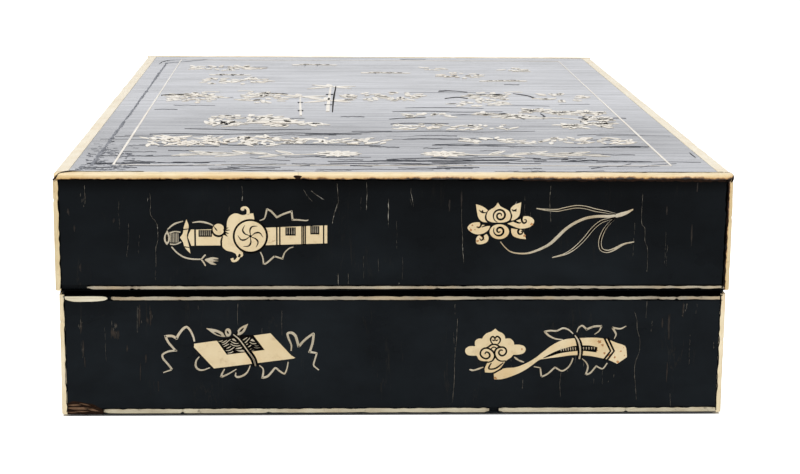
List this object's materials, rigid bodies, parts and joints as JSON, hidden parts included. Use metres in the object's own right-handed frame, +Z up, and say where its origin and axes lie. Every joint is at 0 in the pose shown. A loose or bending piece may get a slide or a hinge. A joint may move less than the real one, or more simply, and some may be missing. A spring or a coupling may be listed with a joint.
{
  "type": "lacquer document box",
  "caption": "Flat rectangular lacquered wooden document box with a lift-off lid, bone-edged corners and bone emblem inlays.",
  "frame": {"origin": "centre of the underside of the base, on the surface that the box stands on", "axes": "+X to the right along the short front, +Y from the front to the back along the long sides, +Z up"},
  "size_m": [0.32, 0.5, 0.1169],
  "materials": {
    "lacquer": "gloss",
    "inner_lacquer": "satin",
    "bone": "satin",
    "paper": "matte"
  },
  "bodies": {
    "base": {"base_floor_board": "lacquer", "base_front_board": "lacquer", "base_back_board": "lacquer", "base_left_board": "lacquer", "base_right_board": "lacquer", "base_front_rim_board": "inner_lacquer", "base_back_rim_board": "inner_lacquer", "base_left_rim_board": "inner_lacquer", "base_right_rim_board": "inner_lacquer", "base_lining": "paper", "base_front_upper_line": "bone", "base_back_upper_line": "bone", "base_left_upper_line": "bone", "base_right_upper_line": "bone", "base_front_lower_line": "bone", "base_back_lower_line": "bone", "base_left_lower_line": "bone", "base_right_lower_line": "bone", "base_front_left_corner": "bone", "base_front_right_corner": "bone", "base_back_left_corner": "bone", "base_back_right_corner": "bone", "base_front_scroll": "bone", "base_front_ruyi_head": "bone", "base_front_ruyi_handle": "bone", "base_back_coins": "bone", "base_back_lozenges": "bone", "base_left_chime": "bone", "base_right_chime": "bone"},
    "lid": {"lid_top_board": "lacquer", "lid_front_board": "lacquer", "lid_back_board": "lacquer", "lid_left_board": "lacquer", "lid_right_board": "lacquer", "lid_lining": "paper", "lid_front_top_edge": "bone", "lid_back_top_edge": "bone", "lid_left_top_edge": "bone", "lid_right_top_edge": "bone", "lid_front_line": "bone", "lid_back_line": "bone", "lid_left_line": "bone", "lid_right_line": "bone", "lid_front_left_corner": "bone", "lid_front_right_corner": "bone", "lid_back_left_corner": "bone", "lid_back_right_corner": "bone", "lid_top_border": "bone", "lid_top_left_spray": "bone", "lid_top_right_spray": "bone", "lid_top_rock": "bone", "lid_top_bamboo": "bone", "lid_top_pine": "bone", "lid_front_sword": "bone", "lid_front_lotus_flower": "bone", "lid_front_lotus_stem": "bone", "lid_back_gourd": "bone", "lid_back_fan": "bone", "lid_left_leaf": "bone", "lid_right_leaf": "bone"}
  },
  "joints": [
    {"name": "lid_lift", "type": "slide", "parent": "base", "child": "lid", "axis": [0, 0, 1], "range_m": [0, 0.12]}
  ]
}
